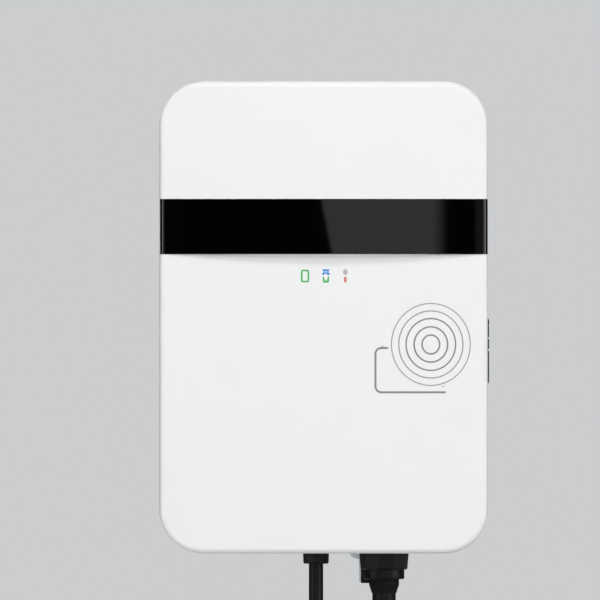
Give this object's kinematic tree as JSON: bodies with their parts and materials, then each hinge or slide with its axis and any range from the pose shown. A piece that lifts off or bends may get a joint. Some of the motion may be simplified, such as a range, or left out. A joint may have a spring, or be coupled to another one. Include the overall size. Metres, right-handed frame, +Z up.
{
  "type": "wall-mounted electric vehicle charger",
  "caption": "Wall box that charges an electric car: white moulded cover with a black band, a side window over its breaker, cable glands below, a supply lead and a charging cable with car plug.",
  "frame": {"origin": "middle of the wall bracket's four screw holes, on the bracket's back face, which is the wall plane", "axes": "+Z up, -Y out of the wall to the front, +X to the right as seen from the front"},
  "size_m": [0.4216, 0.108, 0.921],
  "materials": {
    "white_cover": "semi-gloss, smooth moulded",
    "pale_housing": "satin, smooth moulded",
    "black_band": "high gloss",
    "smoked_leaf": "clear smoked moulding",
    "black_nylon": "fine satin",
    "black_rubber": "matte sheath",
    "strap_fabric": "woven",
    "galvanised": "zinc plated",
    "screw_steel": "plated",
    "breaker_grey": "fine matte",
    "toggle_blue": "satin",
    "button_yellow": "satin",
    "board_green": "lacquered board",
    "brass": "turned",
    "contact_silver": "silver plated",
    "capacitor_can": "drawn can",
    "sensor_plastic": "moulded",
    "clear_guide": "clear moulded",
    "core_sheath": "smooth sheath",
    "neutral_sheath": "smooth sheath",
    "earth_sheath": "smooth sheath, green and yellow",
    "ribbon_grey": "flat sheath"
  },
  "bodies": {
    "wallbox": {"band_lens": "black_band", "bend_relief_boot": "black_rubber", "board_screws": "screw_steel", "board_standoffs": "brass", "breaker_body": "breaker_grey", "breaker_terminal_screws": "screw_steel", "capacitors": "capacitor_can", "charging_cable": "black_rubber", "charging_cable_coil": "black_rubber", "charging_cable_tail": "black_rubber", "charging_coil_straps": "strap_fabric", "charging_gland_body": "black_nylon", "charging_gland_locknut": "black_nylon", "charging_gland_nut": "black_nylon", "charging_gland_seal": "black_rubber", "contact_carrier": "black_nylon", "contact_sleeves": "contact_silver", "core_ferrules": "contact_silver", "cover_screws": "screw_steel", "cover_seal": "black_rubber", "current_sensor": "sensor_plastic", "din_rail": "galvanised", "earth_wires": "earth_sheath", "front_cover": "white_cover", "gland_collar": "black_nylon", "light_board": "board_green", "light_guides": "clear_guide", "lock_wedge": "black_nylon", "main_board": "board_green", "neutral_wires": "neutral_sheath", "phase_wires": "core_sheath", "plug_back_shell": "black_nylon", "plug_cable_nut": "black_nylon", "plug_front_shell": "black_nylon", "plug_nose": "black_nylon", "plug_screws": "screw_steel", "power_relays": "black_nylon", "power_supply": "black_nylon", "rail_bracket": "galvanised", "reader_board": "board_green", "rear_housing": "pale_housing", "ribbon_cable": "ribbon_grey", "supply_coil_ties": "black_nylon", "supply_cores": "core_sheath", "supply_gland_body": "black_nylon", "supply_gland_locknut": "black_nylon", "supply_gland_nut": "black_nylon", "supply_gland_seal": "black_rubber", "supply_lead": "black_rubber", "supply_lead_coil": "black_rubber", "supply_lead_tail": "black_rubber", "terminal_block": "breaker_grey", "terminal_screws": "screw_steel", "wall_bracket": "galvanised", "window_bezel": "black_nylon", "window_gasket": "black_rubber", "window_hinge_pin": "screw_steel"},
    "window": {"window_leaf": "smoked_leaf"},
    "toggle": {"breaker_toggle": "toggle_blue"},
    "test_button": {"breaker_test_button": "button_yellow"}
  },
  "joints": [
    {"name": "window_hinge", "type": "hinge", "parent": "wallbox", "child": "window", "pos_m": [0.1242, -0.032, -0.0027], "axis": [0, -1, 0], "range_deg": [0, 100]},
    {"name": "toggle_pivot", "type": "hinge", "parent": "wallbox", "child": "toggle", "pos_m": [0.1106, -0.032, -0.0252], "axis": [0, 1, 0], "range_deg": [0, 76]},
    {"name": "test_press", "type": "slide", "parent": "wallbox", "child": "test_button", "axis": [-1, 0, 0], "range_m": [0, 0.0015], "stiffness_N_per_m": 300}
  ]
}
